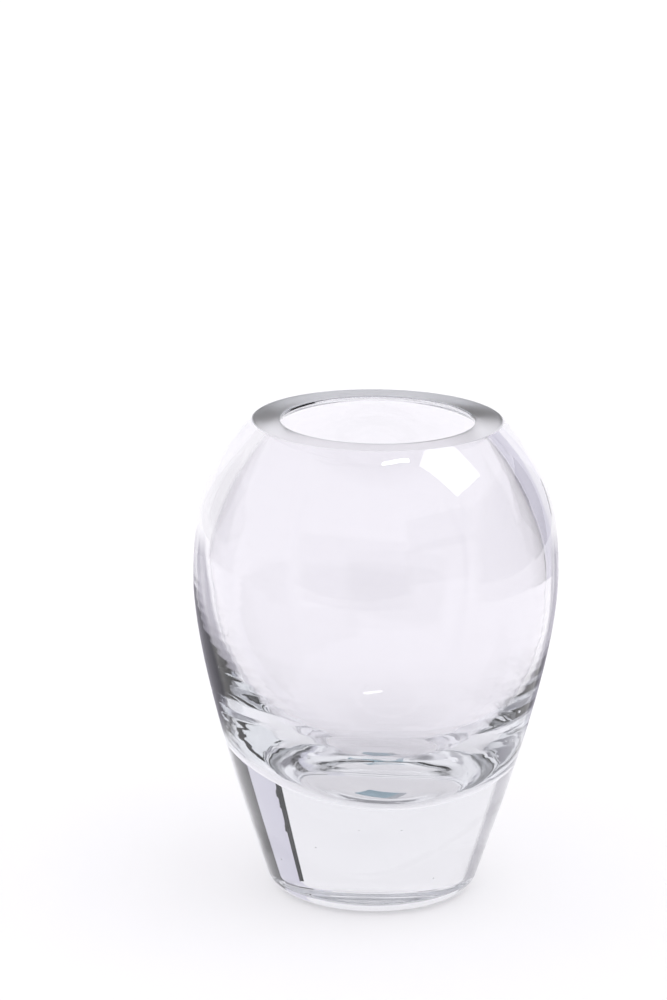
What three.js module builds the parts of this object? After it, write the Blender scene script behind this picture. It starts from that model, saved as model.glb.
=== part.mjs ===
// A small, heavy-based glass vase. It stands on its foot with its axis along +Z.
// The origin is the centre of the foot's rest plane. All sizes are in millimetres.
//
// The vase is one piece of blown glass. Its outside is a body of revolution: a flat foot with a shallow
// hollow under it, a straight flared wall, a round belly, and a shoulder cut off flat at the mouth.
// The cavity is round too, but its centre line drifts sideways towards its floor, as a blown bubble does.
// A thin paper label is stuck in the hollow under the foot.

import * as THREE from 'three';

// Outside of the glass
const HEIGHT = 130;
const BELLY_RADIUS = 49;
const BELLY_HEIGHT = 88;
const FOOT_RADIUS = 22.7;            // flat part of the foot, where its round corner starts
const FOOT_CORNER = 6.1;             // radius of that corner
const WALL_FLARE = Math.PI * 0.1035; // lean of the lower wall, from the vertical
const WALL_PULL = 24;                // how far the wall keeps that lean, as a curve handle
const BELLY_PULL_DOWN = 22;          // curve handle below the belly
const BELLY_PULL_UP = 21.5;          // curve handle above the belly
const SHOULDER_SLOPE = Math.PI / 4;  // slope of the shoulder where the rim cuts it
const SHOULDER_PULL = 14.6;

// Rim and mouth
const RIM_RADIUS = 33.3;
const RIM_BEVEL = 0.3;
const MOUTH_RADIUS = 25.9;
const MOUTH_BEVEL_HEIGHT = 1.2;      // upright polished band on the mouth's inner edge

// Cavity
const CAVITY_RADIUS = 44.6;
const CAVITY_FLOOR = 29.8;
const CAVITY_PULL_DOWN = 31.5;
const CAVITY_FLOOR_PULL = 27.6;
const CAVITY_PULL_UP = 17;
const CAVITY_MOUTH_PULL = 14;
const CAVITY_DRIFT = 3;              // sideways offset of the cavity at 100 mm below the rim

// Hollow under the foot, a shallow spherical cap
const HOLLOW_RADIUS = 17.5;
const HOLLOW_DEPTH = 1.1;
const HOLLOW_SPHERE = (HOLLOW_RADIUS ** 2 + HOLLOW_DEPTH ** 2) / (2 * HOLLOW_DEPTH);

// Label
const LABEL_LENGTH = 16;
const LABEL_WIDTH = 12;
const LABEL_THICKNESS = 0.15;
const LABEL_GLUE = 0.05;
const LABEL_CENTRE = [0.4, -3.4];
const LABEL_TURN = Math.PI / 7;
const LABEL_CELLS = [8, 6];

const SIDES = 48;                    // facets round the axis, a multiple of 4 so that the box is exact

const glass = new THREE.MeshStandardMaterial({
  color: 0xf1eef5,
  roughness: 0.02,
  metalness: 0,
  transparent: true,
  opacity: 0.35,
});
const paper = new THREE.MeshStandardMaterial({ color: 0x9fb2bd, roughness: 0.7, metalness: 0 });

// From the centre of the hollow, over the foot and the belly, to the outer edge of the rim.
function outsidePoints() {
  const cornerX = FOOT_RADIUS + FOOT_CORNER * Math.cos(WALL_FLARE);
  const cornerY = FOOT_CORNER - FOOT_CORNER * Math.sin(WALL_FLARE);
  const bevelTop = RIM_RADIUS - RIM_BEVEL;

  const hollow = new THREE.Path();
  const hollowEdge = Math.acos(HOLLOW_RADIUS / HOLLOW_SPHERE);
  hollow.absarc(0, HOLLOW_DEPTH - HOLLOW_SPHERE, HOLLOW_SPHERE, Math.PI / 2, hollowEdge, true);

  const foot = new THREE.Path();
  foot.absarc(FOOT_RADIUS, FOOT_CORNER, FOOT_CORNER, -Math.PI / 2, -WALL_FLARE, false);

  const wall = new THREE.Path();
  wall.moveTo(cornerX, cornerY);
  wall.bezierCurveTo(
    cornerX + WALL_PULL * Math.sin(WALL_FLARE), cornerY + WALL_PULL * Math.cos(WALL_FLARE),
    BELLY_RADIUS, BELLY_HEIGHT - BELLY_PULL_DOWN,
    BELLY_RADIUS, BELLY_HEIGHT,
  );
  wall.bezierCurveTo(
    BELLY_RADIUS, BELLY_HEIGHT + BELLY_PULL_UP,
    RIM_RADIUS + SHOULDER_PULL * Math.sin(SHOULDER_SLOPE), HEIGHT - SHOULDER_PULL * Math.cos(SHOULDER_SLOPE),
    RIM_RADIUS, HEIGHT - RIM_BEVEL,
  );
  wall.lineTo(bevelTop, HEIGHT);

  return [...hollow.getPoints(3), ...foot.getPoints(4), ...wall.getPoints(13).slice(1)];
}

// From the inner edge of the rim, down the mouth's upright band and the cavity wall, to the floor's centre.
function cavityPoints() {
  const bandFoot = HEIGHT - MOUTH_BEVEL_HEIGHT;
  const cavity = new THREE.Path();
  cavity.moveTo(MOUTH_RADIUS, HEIGHT);
  cavity.lineTo(MOUTH_RADIUS, bandFoot);
  cavity.bezierCurveTo(
    MOUTH_RADIUS + CAVITY_MOUTH_PULL * Math.sin(SHOULDER_SLOPE),
    bandFoot - CAVITY_MOUTH_PULL * Math.cos(SHOULDER_SLOPE),
    CAVITY_RADIUS, BELLY_HEIGHT + CAVITY_PULL_UP,
    CAVITY_RADIUS, BELLY_HEIGHT,
  );
  cavity.bezierCurveTo(
    CAVITY_RADIUS, BELLY_HEIGHT - CAVITY_PULL_DOWN,
    CAVITY_FLOOR_PULL, CAVITY_FLOOR,
    0, CAVITY_FLOOR,
  );
  return cavity.getPoints(15);
}

// The lathe turns about Y, so the finished solid is stood up along Z.
function vaseBody() {
  const outside = outsidePoints();
  const profile = [...outside, ...cavityPoints()];
  const geometry = new THREE.LatheGeometry(profile, SIDES);
  geometry.rotateX(Math.PI / 2);

  const position = geometry.getAttribute('position');
  for (let i = 0; i < position.count; i += 1) {
    const onCavity = i % profile.length >= outside.length;
    if (onCavity) {
      const depth = (HEIGHT - position.getZ(i)) / 100;
      position.setX(i, position.getX(i) + CAVITY_DRIFT * depth ** 2);
    }
  }
  geometry.computeVertexNormals();

  const mesh = new THREE.Mesh(geometry, glass);
  mesh.name = 'vase_body';
  return mesh;
}

// Height of the hollow's ceiling above the rest plane.
function hollowCeiling(x, y) {
  return HOLLOW_DEPTH - HOLLOW_SPHERE + Math.sqrt(HOLLOW_SPHERE ** 2 - x * x - y * y);
}

// A thin rectangle bent to follow the ceiling of the hollow, one layer of glue below it.
function footLabel() {
  const geometry = new THREE.BoxGeometry(
    LABEL_LENGTH, LABEL_WIDTH, LABEL_THICKNESS,
    LABEL_CELLS[0], LABEL_CELLS[1], 1,
  );
  geometry.rotateZ(LABEL_TURN);
  geometry.translate(LABEL_CENTRE[0], LABEL_CENTRE[1], 0);

  const position = geometry.getAttribute('position');
  const drop = LABEL_GLUE + LABEL_THICKNESS / 2;
  for (let i = 0; i < position.count; i += 1) {
    const ceiling = hollowCeiling(position.getX(i), position.getY(i));
    position.setZ(i, position.getZ(i) + ceiling - drop);
  }
  geometry.computeVertexNormals();

  const mesh = new THREE.Mesh(geometry, paper);
  mesh.name = 'foot_label';
  return mesh;
}

const vase = new THREE.Group();
vase.add(vaseBody(), footLabel());

export default vase;
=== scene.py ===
"""A small clear glass vase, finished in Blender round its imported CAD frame.

The glass is rebuilt as one fine, smooth mesh over the faceted CAD lathe, with the marks that
hand work leaves: ripples, a drifting cavity, polished edges, a few seeds. Lengths in the constants
are millimetres, and meshes are made in metres.
"""
import math

import bpy
import numpy as np
from mathutils import Matrix, Vector


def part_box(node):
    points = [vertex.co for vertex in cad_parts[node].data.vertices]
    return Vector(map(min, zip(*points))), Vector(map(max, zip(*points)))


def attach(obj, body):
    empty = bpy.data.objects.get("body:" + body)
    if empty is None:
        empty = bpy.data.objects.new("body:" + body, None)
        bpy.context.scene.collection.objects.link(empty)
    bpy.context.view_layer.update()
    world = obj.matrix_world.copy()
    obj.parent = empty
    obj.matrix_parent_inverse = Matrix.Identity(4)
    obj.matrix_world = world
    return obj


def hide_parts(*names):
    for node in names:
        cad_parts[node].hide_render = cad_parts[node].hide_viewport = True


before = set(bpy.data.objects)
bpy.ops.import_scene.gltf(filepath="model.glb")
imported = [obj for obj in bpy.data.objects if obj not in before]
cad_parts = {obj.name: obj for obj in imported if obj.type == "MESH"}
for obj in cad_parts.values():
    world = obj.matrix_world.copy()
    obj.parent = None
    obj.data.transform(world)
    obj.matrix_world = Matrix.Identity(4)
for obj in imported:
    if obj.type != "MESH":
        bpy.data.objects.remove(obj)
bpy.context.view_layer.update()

MM = 0.001
vase_low, vase_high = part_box("vase_body")
label_low, label_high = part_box("foot_label")

# Outside of the glass
HEIGHT = vase_high[2] / MM
BELLY_RADIUS = (vase_high[0] - vase_low[0]) / 2 / MM
BELLY_HEIGHT = 88
FOOT_RADIUS = 22.7
FOOT_CORNER = 6.1
WALL_FLARE = math.pi * 0.1035
WALL_PULL = 24
BELLY_PULL_DOWN = 22
BELLY_PULL_UP = 21.5
SHOULDER_SLOPE = math.pi / 4
SHOULDER_PULL = 14.6

# Rim and mouth
RIM_RADIUS = 33.3
MOUTH_RADIUS = 25.9
MOUTH_BEVEL_HEIGHT = 1.2
EDGE_ROUND = 0.3
EDGE_PULL = 0.45        # curve handles of the rounded edges, as a share of EDGE_ROUND
RIM_DOME = 0.08

# Cavity
CAVITY_RADIUS = 44.6
CAVITY_FLOOR = 29.8
CAVITY_PULL_DOWN = 31.5
CAVITY_FLOOR_PULL = 27.6
CAVITY_PULL_UP = 17
CAVITY_MOUTH_PULL = 14
CAVITY_DRIFT = 3

# Hollow under the foot
HOLLOW_RADIUS = 17.5
HOLLOW_DEPTH = 1.1
HOLLOW_SPHERE = (HOLLOW_RADIUS ** 2 + HOLLOW_DEPTH ** 2) / (2 * HOLLOW_DEPTH)

# Marks of hand work, each the greatest depth of its pattern
WALL_BAND_DEPTH = 0.008
WALL_LOBE_DEPTH = 0.02
FOOT_LINE_DEPTH = 0.01
FOOT_LINE_HEIGHT = 13.6
TOOL_LINE_DEPTH = 0.008
TOOL_LINE_PITCH = 2.45
CAVITY_BAND_DEPTH = 0.01
CAVITY_LOBE_DEPTH = 0.06
FOLD_RING_DEPTH = 0.035
FOLD_SWIRL_DEPTH = 0.05
CREASE_DEPTH = 0.03
CREASE_HEIGHT = 76.2

# Bubbles left in the thick base and in the wall: centre, radius, stretch along Z
BUBBLES = (((35.0, -8.0, 42.5), 0.38, 1.2), ((-9, 4, 17), 0.16, 1.0), ((13, -11, 9), 0.2, 1.1),
           ((4, 14, 22), 0.14, 1.0), ((-19, -6, 12), 0.18, 1.3), ((-3, -16, 25), 0.12, 1.0),
           ((46.6, 3, 97), 0.16, 1.5), ((-38, -26.5, 78), 0.13, 1.4))
BUBBLE_RINGS = 9
BUBBLE_SIDES = 14

# Label
LABEL_LENGTH = 16
LABEL_WIDTH = 12
LABEL_TURN = math.pi / 7
LABEL_THICKNESS = 0.13
LABEL_CORNER = 1.2
LABEL_SOFTENING = 0.02  # how far the label's cut edge is pinched
LABEL_PRESS = 0.01      # how far the label sits into the glass, so that no air shows between them
PRINT_END = 4.6         # where the printed field ends, along the label from its middle

# Fineness of the glass mesh
SIDES = 320
WALL_STEP = 0.5
EDGE_STEP = 0.06
BAND_STEP = 0.15
FOLD_STEP = 0.08

# Colours and numbers of the materials
GLASS_TINT = (0.925, 0.916, 0.938, 1)
GLASS_IOR = 1.52
GLASS_DEPTH_COLOUR = (0.80, 0.84, 0.86, 1)
GLASS_DEPTH_DENSITY = 5
RIM_ROUGHNESS = 0.42
PALE_PRINT = ((0.62, 0.66, 0.70, 1), (0.72, 0.75, 0.78, 1))
BLUE_PRINT = ((0.42, 0.58, 0.66, 1), (0.54, 0.70, 0.78, 1))


# ---------------------------------------------------------------- profile of the glass

def bezier(p0, p1, p2, p3, step):
    """Points along a cubic curve, about one step apart."""
    t = np.linspace(0, 1, 200)[:, None]
    p0, p1, p2, p3 = (np.array(p, float) for p in (p0, p1, p2, p3))
    curve = (1 - t) ** 3 * p0 + 3 * (1 - t) ** 2 * t * p1 + 3 * (1 - t) * t * t * p2 + t ** 3 * p3
    return evenly(curve, step)


def arc(centre, radius, start, end, count):
    """Points on an arc, angles in radians."""
    a = np.linspace(start, end, count)
    return np.stack([centre[0] + radius * np.cos(a), centre[1] + radius * np.sin(a)], -1)


def evenly(points, step):
    """The same path with points one step apart."""
    gaps = np.hypot(*np.diff(points, axis=0).T)
    along = np.concatenate([[0], np.cumsum(gaps)])
    count = max(2, int(round(along[-1] / step)) + 1)
    at = np.linspace(0, along[-1], count)
    return np.stack([np.interp(at, along, points[:, 0]), np.interp(at, along, points[:, 1])], -1)


def outside_profile():
    """From the centre of the hollow, over the foot, belly and shoulder, to the rim's outer edge."""
    edge = math.acos(HOLLOW_RADIUS / HOLLOW_SPHERE)
    hollow = arc((0, HOLLOW_DEPTH - HOLLOW_SPHERE), HOLLOW_SPHERE, math.pi / 2, edge, 36)
    ring = np.stack([np.linspace(HOLLOW_RADIUS + 0.1, FOOT_RADIUS, 8), np.zeros(8)], -1)
    corner = arc((FOOT_RADIUS, FOOT_CORNER), FOOT_CORNER, -math.pi / 2, -WALL_FLARE, 26)
    lean = np.array([math.sin(WALL_FLARE), math.cos(WALL_FLARE)])
    slope = np.array([math.sin(SHOULDER_SLOPE), -math.cos(SHOULDER_SLOPE)])
    belly = np.array([BELLY_RADIUS, BELLY_HEIGHT])
    wall = bezier(corner[-1], corner[-1] + WALL_PULL * lean,
                  belly - (0, BELLY_PULL_DOWN), belly, WALL_STEP)
    rim = np.array([RIM_RADIUS, HEIGHT])
    shoulder = bezier(belly, belly + (0, BELLY_PULL_UP),
                      rim + SHOULDER_PULL * slope, rim + EDGE_ROUND * slope, WALL_STEP)
    turn = bezier(rim + EDGE_ROUND * slope, rim + EDGE_PULL * EDGE_ROUND * slope,
                  rim - (EDGE_PULL * EDGE_ROUND, 0), rim - (EDGE_ROUND, 0), EDGE_STEP)
    return np.concatenate([hollow, ring, corner[1:], wall[1:], shoulder[1:], turn[1:]])


def rim_profile():
    """The polished top of the rim, very slightly domed."""
    outer = RIM_RADIUS - EDGE_ROUND
    inner = MOUTH_RADIUS + EDGE_ROUND
    r = np.linspace(outer, inner, 22)[1:-1]
    middle, half = (outer + inner) / 2, (outer - inner) / 2
    return np.stack([r, HEIGHT - RIM_DOME * ((r - middle) / half) ** 2], -1)


def cavity_profile():
    """From the mouth's inner edge, down the cavity wall, to the centre of its floor."""
    lip = np.array([MOUTH_RADIUS, HEIGHT - RIM_DOME])
    band = np.array([MOUTH_RADIUS, HEIGHT - MOUTH_BEVEL_HEIGHT])
    slope = np.array([math.sin(SHOULDER_SLOPE), -math.cos(SHOULDER_SLOPE)])
    belly = np.array([CAVITY_RADIUS, BELLY_HEIGHT])
    turn = bezier(lip + (EDGE_ROUND, 0), lip + (EDGE_PULL * EDGE_ROUND, 0),
                  lip - (0, EDGE_PULL * EDGE_ROUND), lip - (0, EDGE_ROUND), EDGE_STEP)
    fold_reach, fold_pull = 0.25, 0.1
    fold_start = band + (0, fold_reach)
    fold_end = band + fold_reach * slope
    upright = evenly(np.array([turn[-1], fold_start]), BAND_STEP)
    fold = bezier(fold_start, band + (0, fold_pull), band + fold_pull * slope, fold_end, FOLD_STEP)
    upper = bezier(fold_end, band + CAVITY_MOUTH_PULL * slope,
                   belly + (0, CAVITY_PULL_UP), belly, WALL_STEP)
    lower = bezier(belly, belly - (0, CAVITY_PULL_DOWN),
                   (CAVITY_FLOOR_PULL, CAVITY_FLOOR), (0, CAVITY_FLOOR), WALL_STEP)
    return np.concatenate([turn, upright[1:], fold[1:], upper[1:], lower[1:]])


def smoothstep(low, high, x):
    """0 below low, 1 above high, and a smooth rise between them."""
    t = np.clip((x - low) / (high - low), 0, 1)
    return t * t * (3 - 2 * t)


def wave(turns):
    """A sine that repeats once for every turn."""
    return np.sin(2 * math.pi * turns)


def outside_ripple(z, a):
    """How far hand shaping leaves the outer wall below its ideal surface, never above it."""
    reach = smoothstep(6, 16, z) * (1 - smoothstep(118, 127, z))
    drift = 0.22 * np.sin(a + 0.6) + 0.12 * np.sin(2 * a + 2.1)
    bands = 0.5 * wave(z / 8.3 + drift) + 0.3 * wave(z / 5.1 - 1.7 * drift) + 0.2 * wave(z / 13 + drift)
    lobes = 0.6 * np.sin(3 * a + z / 31) + 0.4 * np.sin(5 * a - z / 23 + 1)
    line = np.exp(-((z - FOOT_LINE_HEIGHT - 0.3 * np.sin(a)) / 0.5) ** 2)
    hollows = WALL_BAND_DEPTH * (1 + bands) + WALL_LOBE_DEPTH * (1 + lobes)
    return -reach * hollows - FOOT_LINE_DEPTH * line


def cavity_ripple(z, r, a):
    """Unevenness of the blown cavity: tool lines on the wall, folds round the floor, one crease."""
    wall = (1 - smoothstep(118, 126, z)) * smoothstep(32, 40, z)
    drift = 0.3 * np.sin(a - 0.4) + 0.16 * np.sin(2 * a + 0.9)
    fine = smoothstep(36, 50, z) * (1 - smoothstep(72, 92, z))
    tool = 0.6 * wave(z / TOOL_LINE_PITCH + drift) + 0.25 * wave(2 * z / TOOL_LINE_PITCH + 2 * drift + 0.2)
    broad = 0.5 * wave(z / 9.6 + 0.6 * drift) + 0.5 * wave(z / 21 - 0.5 * drift)
    lobes = 0.5 * np.sin(2 * a + z / 17) + 0.3 * np.sin(3 * a - z / 29 + 2)
    folds = smoothstep(3, 14, r) * (1 - smoothstep(34, 50, z))
    rings = 0.6 * wave(r / 11 + 0.16 * np.sin(2 * a + 1)) + 0.4 * wave(r / 6.2 + 0.2 * np.sin(a + 2))
    swirl = 0.6 * np.sin(3 * a + r / 5) + 0.4 * np.sin(5 * a - r / 3.6 + 1)
    facing_front = (0.5 - 0.5 * np.sin(a - 0.2)) ** 3
    crease = CREASE_DEPTH * facing_front * np.tanh((z - CREASE_HEIGHT - 0.3 * np.sin(3 * a)) / 0.5)
    on_wall = TOOL_LINE_DEPTH * fine * tool + CAVITY_BAND_DEPTH * broad + CAVITY_LOBE_DEPTH * lobes
    on_floor = FOLD_RING_DEPTH * rings + FOLD_SWIRL_DEPTH * swirl
    return wall * on_wall + folds * on_floor + crease


def path_normals(path):
    """Unit normals of the profile, pointing out of the glass."""
    along = np.gradient(path, axis=0)
    normal = np.stack([along[:, 1], -along[:, 0]], -1)
    return normal / np.maximum(np.hypot(*normal.T), 1e-9)[:, None]


# ---------------------------------------------------------------- meshes

def make_mesh(name, vertices, faces):
    """A smooth-shaded object from vertices in metres."""
    mesh = bpy.data.meshes.new(name)
    mesh.from_pydata(vertices.tolist(), [], faces)
    mesh.validate()
    mesh.polygons.foreach_set("use_smooth", [True] * len(mesh.polygons))
    mesh.update()
    piece = bpy.data.objects.new(name, mesh)
    bpy.context.collection.objects.link(piece)
    return piece


def glass_surface():
    """The whole skin of the glass as a grid turned round the axis, closed at both poles."""
    outside = outside_profile()
    rim = rim_profile()
    cavity = cavity_profile()
    path = np.concatenate([outside, rim, cavity])
    first_cavity = len(outside) + len(rim)
    normal = path_normals(path)
    a = np.linspace(0, 2 * math.pi, SIDES, endpoint=False)

    r, z = path[1:-1, :1], path[1:-1, 1:]
    rows = np.arange(1, len(path) - 1)[:, None]
    on_cavity = rows >= first_cavity
    on_outside = rows < len(outside)
    push = np.where(on_cavity, cavity_ripple(z, r, a), 0) + np.where(on_outside, outside_ripple(z, a), 0)
    r = r + push * normal[1:-1, :1]
    z = z + push * normal[1:-1, 1:]
    drift = np.where(on_cavity, CAVITY_DRIFT * ((HEIGHT - z) / 100) ** 2, 0)
    grid = np.stack([r * np.cos(a) + drift, r * np.sin(a), z + 0 * a], -1)

    floor_drift = CAVITY_DRIFT * ((HEIGHT - CAVITY_FLOOR) / 100) ** 2
    poles = np.array([[0, 0, HOLLOW_DEPTH], [floor_drift, 0, CAVITY_FLOOR]])
    vertices = np.concatenate([poles, grid.reshape(-1, 3)]) * MM

    faces = []
    last = 2 + (len(rows) - 1) * SIDES
    for k in range(SIDES):
        after = (k + 1) % SIDES
        faces.append((0, 2 + after, 2 + k))
        faces.append((1, last + k, last + after))
    for row in range(len(rows) - 1):
        low = 2 + row * SIDES
        high = low + SIDES
        for k in range(SIDES):
            after = (k + 1) % SIDES
            faces.append((low + k, low + after, high + after, high + k))
    return vertices, faces


def bubble(centre, radius, stretch, start):
    """A tiny bubble in the glass. Its faces point into the bubble, which is outside the glass."""
    rings, sides = BUBBLE_RINGS, BUBBLE_SIDES
    vertices = [centre + Vector((0, 0, radius * stretch))]
    for i in range(1, rings):
        tilt = math.pi * i / rings
        for k in range(sides):
            turn = 2 * math.pi * k / sides
            offset = Vector((math.sin(tilt) * math.cos(turn), math.sin(tilt) * math.sin(turn),
                             stretch * math.cos(tilt)))
            vertices.append(centre + radius * offset)
    vertices.append(centre - Vector((0, 0, radius * stretch)))
    end = start + len(vertices) - 1
    faces = []
    for k in range(sides):
        after = (k + 1) % sides
        faces.append((start, start + 1 + after, start + 1 + k))
        faces.append((end, end - sides + k, end - sides + after))
    for i in range(rings - 2):
        low = start + 1 + i * sides
        for k in range(sides):
            after = (k + 1) % sides
            faces.append((low + k, low + after, low + sides + after, low + sides + k))
    return [tuple(v * MM) for v in vertices], faces


def bubbles(start):
    """All the bubbles, as vertices and faces that follow start earlier vertices."""
    vertices, faces = [], []
    for centre, radius, stretch in BUBBLES:
        new_vertices, new_faces = bubble(Vector(centre), radius, stretch, start + len(vertices))
        vertices += new_vertices
        faces += new_faces
    return np.array(vertices), faces


def vase_glass():
    """The glass body, with its bubbles in the same mesh."""
    vertices, faces = glass_surface()
    bubble_vertices, bubble_faces = bubbles(len(vertices))
    vase = make_mesh("vase_glass", np.concatenate([vertices, bubble_vertices]), faces + bubble_faces)
    vase.data.materials.append(glass_material())
    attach(vase, "root")
    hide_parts("vase_body")


def label_outline(inset):
    """A rounded rectangle, drawn in towards its middle by inset."""
    half_x, half_y = LABEL_LENGTH / 2 - inset, LABEL_WIDTH / 2 - inset
    corner = max(LABEL_CORNER - inset, 0.05)
    points = []
    for sx, sy, start in ((1, 1, 0), (-1, 1, 90), (-1, -1, 180), (1, -1, 270)):
        for degrees in range(0, 91, 10):
            turn = math.radians(start + degrees)
            points.append((sx * (half_x - corner) + corner * math.cos(turn),
                           sy * (half_y - corner) + corner * math.sin(turn)))
    return points


def foot_label():
    """The paper label, bent to the hollow's ceiling and stuck to the glass."""
    centre_x = (label_low[0] + label_high[0]) / 2 / MM
    centre_y = (label_low[1] + label_high[1]) / 2 / MM
    cos, sin = math.cos(LABEL_TURN), math.sin(LABEL_TURN)
    rings = [label_outline(inset) for inset in (0, 0.15, 1.0, 2.0, 3.0, 4.0, 5.0)]
    count = len(rings[0])
    vertices, faces = [], []

    def place(x, y, drop):
        px = centre_x + cos * x - sin * y
        py = centre_y + sin * x + cos * y
        ceiling = HOLLOW_DEPTH - HOLLOW_SPHERE + math.sqrt(HOLLOW_SPHERE ** 2 - px * px - py * py)
        vertices.append((px, py, ceiling + LABEL_PRESS - drop))

    for drop in (0, LABEL_THICKNESS):
        for number, ring in enumerate(rings):
            soften = LABEL_SOFTENING if number == 0 else 0
            for x, y in ring:
                place(x, y, drop + (soften if drop == 0 else -soften))
        place(0, 0, drop)
    sheet = len(rings) * count + 1
    for k in range(count):
        after = (k + 1) % count
        for ring in range(len(rings) - 1):
            a, b = ring * count + k, ring * count + after
            faces.append((a, b, b + count, a + count))
            faces.append((sheet + b, sheet + a, sheet + a + count, sheet + b + count))
        inner = (len(rings) - 1) * count
        faces.append((inner + k, inner + after, sheet - 1))
        faces.append((sheet + inner + after, sheet + inner + k, 2 * sheet - 1))
        faces.append((k, sheet + k, sheet + after, after))
    label = make_mesh("paper_label", np.array(vertices) * MM, faces)
    label.data.materials.append(label_material(centre_x, centre_y))
    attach(label, "root")
    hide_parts("foot_label")


# ---------------------------------------------------------------- materials

def new_material(name):
    """A new material with its node tree and its Principled shader."""
    material = bpy.data.materials.new(name)
    material.use_nodes = True
    tree = material.node_tree
    return material, tree, tree.nodes["Principled BSDF"]


def noise(tree, scale, detail, coordinates, stretch=(1, 1, 1)):
    """A noise value. The stretch multiplies its scale along each axis."""
    mapping = tree.nodes.new("ShaderNodeMapping")
    mapping.inputs["Scale"].default_value = stretch
    tree.links.new(coordinates, mapping.inputs["Vector"])
    node = tree.nodes.new("ShaderNodeTexNoise")
    node.inputs["Scale"].default_value = scale
    node.inputs["Detail"].default_value = detail
    tree.links.new(mapping.outputs["Vector"], node.inputs["Vector"])
    return node.outputs["Fac"]


def ranged(tree, value, from_low, from_high, to_low, to_high):
    """The value carried from one range into another, and held at its ends."""
    node = tree.nodes.new("ShaderNodeMapRange")
    node.inputs["From Min"].default_value = from_low
    node.inputs["From Max"].default_value = from_high
    node.inputs["To Min"].default_value = to_low
    node.inputs["To Max"].default_value = to_high
    tree.links.new(value, node.inputs["Value"])
    return node.outputs["Result"]


def combined(tree, operation, first, second):
    """The result of a Math node on two sockets or numbers."""
    node = tree.nodes.new("ShaderNodeMath")
    node.operation = operation
    for socket, value in zip(node.inputs, (first, second)):
        if isinstance(value, (int, float)):
            socket.default_value = value
        else:
            tree.links.new(value, socket)
    return node.outputs["Value"]


def bump(tree, height, shader, distance, strength):
    """Let the height roughen the shader's normal."""
    node = tree.nodes.new("ShaderNodeBump")
    node.inputs["Distance"].default_value = distance
    node.inputs["Strength"].default_value = strength
    tree.links.new(height, node.inputs["Height"])
    tree.links.new(node.outputs["Normal"], shader.inputs["Normal"])


def glass_material():
    """Clear glass: faint polish haze, a satin rim, wear on the foot ring, fine drawn lines."""
    material, tree, shader = new_material("clear_glass")
    shader.inputs["Base Color"].default_value = GLASS_TINT
    shader.inputs["IOR"].default_value = GLASS_IOR
    shader.inputs["Transmission Weight"].default_value = 1
    place = tree.nodes.new("ShaderNodeTexCoord").outputs["Object"]
    split = tree.nodes.new("ShaderNodeSeparateXYZ")
    tree.links.new(place, split.inputs["Vector"])

    haze = ranged(tree, noise(tree, 60, 3, place), 0.35, 0.75, 0.0, 0.012)
    scratches = ranged(tree, noise(tree, 900, 4, place, (1, 1, 0.2)), 0.4, 0.7, 0.05, 0.3)
    on_foot = ranged(tree, split.outputs["Z"], 0.0004, 0.0, 0.0, 1.0)
    worn = combined(tree, "MULTIPLY", scratches, on_foot)
    satin = ranged(tree, split.outputs["Z"], (HEIGHT - 0.25) * MM, (HEIGHT - 0.1) * MM, 0.0, RIM_ROUGHNESS)
    rough = combined(tree, "ADD", haze, combined(tree, "ADD", worn, satin))
    tree.links.new(rough, shader.inputs["Roughness"])

    drawn = noise(tree, 260, 2, place, (0.25, 0.25, 2.2))
    bump(tree, drawn, shader, 0.00001, 0.35)

    absorption = tree.nodes.new("ShaderNodeVolumeAbsorption")
    absorption.inputs["Color"].default_value = GLASS_DEPTH_COLOUR
    absorption.inputs["Density"].default_value = GLASS_DEPTH_DENSITY
    output = tree.nodes["Material Output"]
    tree.links.new(absorption.outputs["Volume"], output.inputs["Volume"])
    return material


def label_material(centre_x, centre_y):
    """Matt printed paper: a plain grey-blue field with a paler end, no lettering."""
    material, tree, shader = new_material("label_paper")
    place = tree.nodes.new("ShaderNodeTexCoord").outputs["Object"]
    mapping = tree.nodes.new("ShaderNodeMapping")
    mapping.vector_type = "TEXTURE"
    mapping.inputs["Location"].default_value = (centre_x * MM, centre_y * MM, 0)
    mapping.inputs["Rotation"].default_value = (0, 0, LABEL_TURN)
    tree.links.new(place, mapping.inputs["Vector"])
    split = tree.nodes.new("ShaderNodeSeparateXYZ")
    tree.links.new(mapping.outputs["Vector"], split.inputs["Vector"])

    printed = ranged(tree, split.outputs["X"], (PRINT_END + 0.1) * MM, (PRINT_END - 0.1) * MM, 0.0, 1.0)
    fibre = noise(tree, 1400, 4, place)
    inks = []
    for dark, light in (PALE_PRINT, BLUE_PRINT):
        mix = tree.nodes.new("ShaderNodeMix")
        mix.data_type = "RGBA"
        mix.inputs["A"].default_value = dark
        mix.inputs["B"].default_value = light
        tree.links.new(fibre, mix.inputs["Factor"])
        inks.append(mix.outputs["Result"])
    ink = tree.nodes.new("ShaderNodeMix")
    ink.data_type = "RGBA"
    tree.links.new(printed, ink.inputs["Factor"])
    tree.links.new(inks[0], ink.inputs["A"])
    tree.links.new(inks[1], ink.inputs["B"])
    tree.links.new(ink.outputs["Result"], shader.inputs["Base Color"])
    tree.links.new(ranged(tree, fibre, 0.3, 0.7, 0.55, 0.75), shader.inputs["Roughness"])
    bump(tree, fibre, shader, 0.00002, 0.5)
    return material


# ---------------------------------------------------------------- studio
# Lengths are metres here, except in side_card, and azimuth 0 is towards +Y and 90 towards +X.

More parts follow.
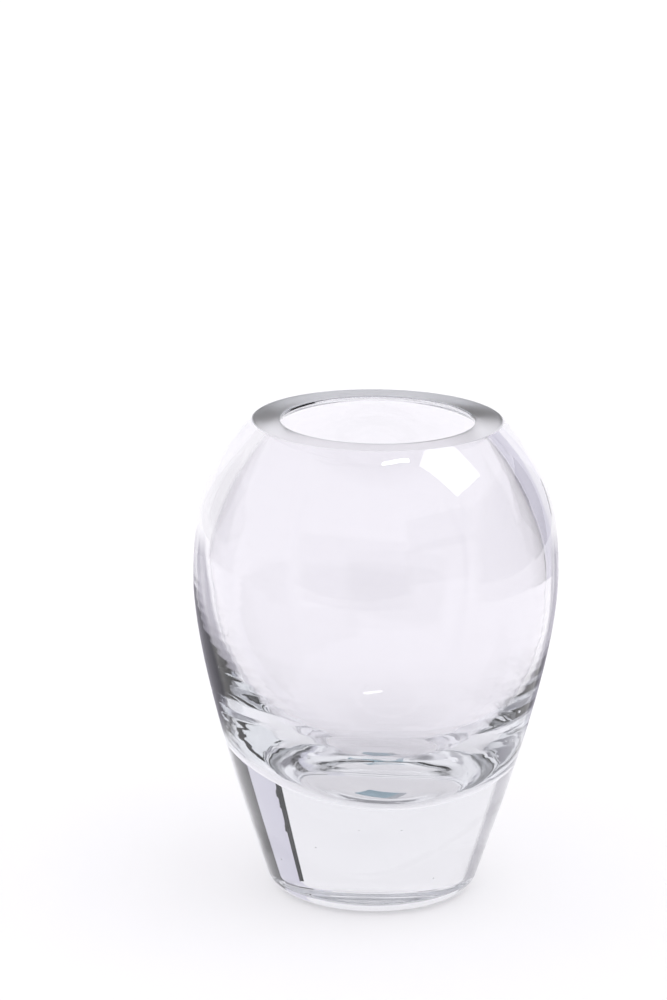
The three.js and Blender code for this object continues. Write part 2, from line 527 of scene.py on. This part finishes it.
FLOOR_COLOUR = (0.95, 0.945, 0.955)
# Colours of cards hidden from the camera and seen only through the glass or mirrored in it: painted dark and
# grey reflections
GREY_CARD = (0.27, 0.265, 0.29)
PALE_CARD = (0.44, 0.435, 0.455)
DARK_CARD = (0.03, 0.03, 0.03)
# Glow of the lilac panel, hidden from the camera: a painted lilac reflection, seen only through the glass
LILAC_CARD = (0.72, 0.705, 0.80)
# Glow of the side cards, hidden from the camera: painted grey reflections along the glass's edges
SIDE_CARD = (0.50, 0.485, 0.55)
# Glow of the disc under the foot, hidden from the camera: painted light on the table, seen only through the
# glass
PAINTED_LIGHT_SPOT = (0.76, 0.75, 0.78)
WALL_COLOUR = (0.975, 0.965, 0.99, 1)
CEILING_COLOUR = (0.27, 0.265, 0.285, 1)
WALL_TOP = math.radians(53)         # elevation where the walls start to darken
CEILING_START = math.radians(68)    # elevation where the ceiling's colour is reached

# Outlines of two upright cards, first sideways (towards smaller azimuths), then up
LILAC_OUTLINE = ((-0.085, 0), (-0.085, 0.42), (0.1, 0.42), (0.096, 0.1), (0.078, 0.091), (0.094, 0.087),
                 (0.076, 0.081), (0.09, 0.077), (0.072, 0.072), (0.084, 0.067), (0.08, 0))
GAP_OUTLINE = ((-0.04, 0), (-0.04, 0.42), (0.01, 0.42), (-0.008, 0.09), (-0.007, 0.08), (0.001, 0.0735),
               (0.018, 0.07), (0.018, 0))

# Cards beside the vase: their reach in height, the gap to the glass, the share of the width before they fade
SIDE_CARD_LOW = 38
SIDE_CARD_HIGH = 105
SIDE_CARD_GAP = 0.7
SIDE_CARD_FULL = 0.65


def stage_card(name, outline, colour, matrix=Matrix(), fade=0.0, glow=0.0, hidden=True):
    """A flat card of the studio, cut to the outline and fading out round its edge.

    The fade is a share of the card's size. A hidden card is only seen through the glass or mirrored in it,
    where it paints a reflection or shade.
    """
    corners = [Vector((*point, 0)) for point in outline]
    middle = sum(corners, Vector()) / len(corners)
    count = len(corners)
    vertices = [middle + (corner - middle) * (1 - fade) for corner in corners]
    faces = [tuple(range(count))]
    if fade:
        vertices += [middle + (corner - middle) * (1 + fade) for corner in corners]
        faces += [(k, (k + 1) % count, count + (k + 1) % count, count + k) for k in range(count)]
    cover = [1.0 if k < count else 0.0 for k in range(len(vertices))]
    finish_card(name, vertices, faces, cover, colour, matrix, glow, hidden)


def finish_card(name, vertices, faces, cover, colour, matrix, glow=0.0, hidden=True):
    """Make the card with its cover at every vertex, from 0 for clear to 1 for full."""
    mesh = bpy.data.meshes.new(name)
    mesh.from_pydata(vertices, [], faces)
    mesh.attributes.new("cover", "FLOAT", "POINT").data.foreach_set("value", cover)

    material, tree, shader = new_material(name)
    shader.inputs["Base Color"].default_value = (*colour, 1)
    shader.inputs["Roughness"].default_value = 0.9
    shader.inputs["Specular IOR Level"].default_value = 0
    if glow:
        shader.inputs["Base Color"].default_value = (0, 0, 0, 1)
        shader.inputs["Emission Color"].default_value = (*colour, 1)
        shader.inputs["Emission Strength"].default_value = glow
    if min(cover) < 1:
        reach = tree.nodes.new("ShaderNodeAttribute")
        reach.attribute_name = "cover"
        soft = tree.nodes.new("ShaderNodeMapRange")
        soft.interpolation_type = "SMOOTHSTEP"
        tree.links.new(reach.outputs["Fac"], soft.inputs["Value"])
        tree.links.new(soft.outputs["Result"], shader.inputs["Alpha"])
    mesh.materials.append(material)

    card = bpy.data.objects.new(name, mesh)
    card.matrix_world = matrix
    bpy.context.collection.objects.link(card)
    if hidden:
        card.visible_camera = False
        card.visible_diffuse = False
        card.visible_shadow = False


def facing(azimuth, elevation, distance, aim=(0, 0, 0.06)):
    """A matrix at that direction from the vase, with its local -Z looking at the vase."""
    az, el = math.radians(azimuth), math.radians(elevation)
    away = Vector((math.sin(az) * math.cos(el), math.cos(az) * math.cos(el), math.sin(el)))
    turn = away.to_track_quat("Z", "Y").to_matrix().to_4x4()
    return Matrix.Translation(Vector(aim) + away * distance) @ turn


def upright_card(name, azimuth, distance, width, low, high, colour, fade=0.0):
    """An upright card standing round the vase, from height low to height high."""
    half = width / 2
    outline = ((-half, low), (half, low), (half, high), (-half, high))
    stage_card(name, outline, colour, facing(azimuth, 0, distance, (0, 0, 0)), fade)


def side_card(name, side, top_width, foot_width):
    """A card beside the vase in the plane y = 0. It is hidden from the camera, glows with its own grey light
    and is seen only through the glass, as painted grey bands along its edges. It follows the wall and fades
    away from it. In mm.
    """
    low, high = SIDE_CARD_LOW, SIDE_CARD_HIGH
    wall = [(r + SIDE_CARD_GAP, z) for r, z in outside_profile()[::6] if low <= z <= high]
    rows = []
    for share in (0, SIDE_CARD_FULL, 1):
        rows.append([(r + share * (top_width + (foot_width - top_width) * (high - z) / (high - low)), z)
                     for r, z in wall])
    vertices = [(side * r * MM, 0, z * MM) for row in rows for r, z in row]
    count = len(wall)
    faces = [(row * count + k, row * count + k + 1, (row + 1) * count + k + 1, (row + 1) * count + k)
             for row in range(2) for k in range(count - 1)]
    along = [min(1.0, (k + 1) / 3, (count - 1 - k) / 3) for k in range(count)]
    cover = along + along + [0.0] * count
    finish_card(name, vertices, faces, cover, SIDE_CARD, Matrix(), glow=1.0)


def softbox(name, azimuth, elevation, distance, width, height, watts, roll):
    """An area light that is mirrored in the outer surface of the glass and lights nothing else."""
    light = bpy.data.lights.new(name, "AREA")
    light.shape = "RECTANGLE"
    light.size = width
    light.size_y = height
    light.energy = watts
    lamp = bpy.data.objects.new(name, light)
    lamp.matrix_world = facing(azimuth, elevation, distance) @ Matrix.Rotation(math.radians(roll), 4, "Z")
    lamp.visible_diffuse = False
    lamp.visible_transmission = False
    bpy.context.collection.objects.link(lamp)


def even_light(azimuth, elevation, strength):
    """Soft shadowless light on the table and the paper, not seen in the glass."""
    light = bpy.data.lights.new("table_light", "SUN")
    light.angle = math.radians(50)
    light.energy = strength
    light.use_shadow = False
    lamp = bpy.data.objects.new("table_light", light)
    lamp.matrix_world = facing(azimuth, elevation, 2.0)
    lamp.visible_glossy = False
    lamp.visible_transmission = False
    bpy.context.collection.objects.link(lamp)


def room():
    """Pale walls up to a darker ceiling."""
    world = bpy.data.worlds.new("studio_world")
    bpy.context.scene.world = world
    world.use_nodes = True
    tree = world.node_tree
    background = tree.nodes["Background"]
    split = tree.nodes.new("ShaderNodeSeparateXYZ")
    tree.links.new(tree.nodes.new("ShaderNodeTexCoord").outputs["Generated"], split.inputs["Vector"])
    above = ranged(tree, split.outputs["Z"], math.sin(WALL_TOP), math.sin(CEILING_START), 0.0, 1.0)
    mix = tree.nodes.new("ShaderNodeMix")
    mix.data_type = "RGBA"
    mix.inputs["A"].default_value = WALL_COLOUR
    mix.inputs["B"].default_value = CEILING_COLOUR
    tree.links.new(above, mix.inputs["Factor"])
    tree.links.new(mix.outputs["Result"], background.inputs["Color"])


def studio():
    """The table, the hidden cards that paint reflections and shade in the glass, the lights and the room."""
    edge = 15
    floor = ((-edge, -edge), (edge, -edge), (edge, edge), (-edge, edge))
    stage_card("floor", floor, FLOOR_COLOUR, Matrix.Translation((0, 0, -0.0002)), hidden=False)

    # A glowing disc under the foot, hidden from the camera and seen only through the glass: painted light on
    # the table beneath the vase
    spot_radius, spot_sides = 0.03, 32
    turns = [2 * math.pi * k / spot_sides for k in range(spot_sides)]
    spot = [(spot_radius * math.cos(turn), spot_radius * math.sin(turn)) for turn in turns]
    stage_card("painted_light_spot", spot, PAINTED_LIGHT_SPOT, Matrix.Translation((0, 0, -0.0001)), fade=0.1, glow=1.0)

    # Glowing grey cards beside the vase, hidden from the camera and seen only through the glass: painted
    # grey bands along its edges
    side_card("left_edge", -1, 3, 27)
    side_card("right_edge", 1, 4, 9)
    # Cards hidden from the camera, seen only through the glass or mirrored in it: painted dark and grey
    # reflections round the vase
    upright_card("dark_right", 56, 0.6, 0.22, 0.0, 0.3, DARK_CARD)
    upright_card("grey_right", 90, 0.61, 0.55, 0.0, 0.42, GREY_CARD, 0.25)
    upright_card("grey_high", 137, 0.6, 0.5, 0.22, 0.46, GREY_CARD, 0.15)
    upright_card("grey_left", -61, 0.6, 0.3, 0.06, 0.3, PALE_CARD, 0.25)
    upright_card("grey_front", 195, 0.6, 0.8, 0.0, 0.3, GREY_CARD, 0.25)
    # Glows with its own light and is hidden from the camera: a painted lilac reflection in the glass
    stage_card("lilac_panel", LILAC_OUTLINE, LILAC_CARD, facing(38.5, 0, 0.59, (0, 0, 0)), glow=1.0)
    # A dark card hidden from the camera: a painted dark line beside the lilac reflection
    stage_card("dark_gap", GAP_OUTLINE, DARK_CARD, facing(29.5, 0, 0.605, (0, 0, 0)))

    softbox("key_box", 100, 52, 1.0, 0.44, 0.46, 2.3, 0)
    softbox("top_strip", 153, 69, 1.0, 0.26, 0.03, 0.3, -9)
    even_light(110, 62, 1.2)
    room()


def camera():
    """The photograph's viewpoint."""
    pitch, roll = math.radians(15.2), math.radians(0.57)
    distance = 1.2
    aim = Vector((-0.0115, 0, 0.1076))
    data = bpy.data.cameras.new("photo_camera")
    data.sensor_width = 36
    data.lens = 162
    data.clip_end = 100
    item = bpy.data.objects.new("photo_camera", data)
    bpy.context.collection.objects.link(item)
    view = Vector((0, math.cos(pitch), -math.sin(pitch)))
    turn = Matrix.Rotation(math.pi / 2 - pitch, 4, "X") @ Matrix.Rotation(roll, 4, "Z")
    item.matrix_world = Matrix.Translation(aim - view * distance) @ turn
    bpy.context.scene.camera = item


def render_settings():
    """Enough bounces for light to find its way through the thick glass."""
    scene = bpy.context.scene
    scene.view_settings.view_transform = "Standard"
    scene.cycles.max_bounces = 24
    scene.cycles.transmission_bounces = 24
    scene.cycles.glossy_bounces = 12
    scene.cycles.diffuse_bounces = 4
    scene.cycles.caustics_reflective = True
    scene.cycles.caustics_refractive = True
    scene.cycles.sample_clamp_indirect = 6


camera()
studio()
render_settings()
vase_glass()
foot_label()
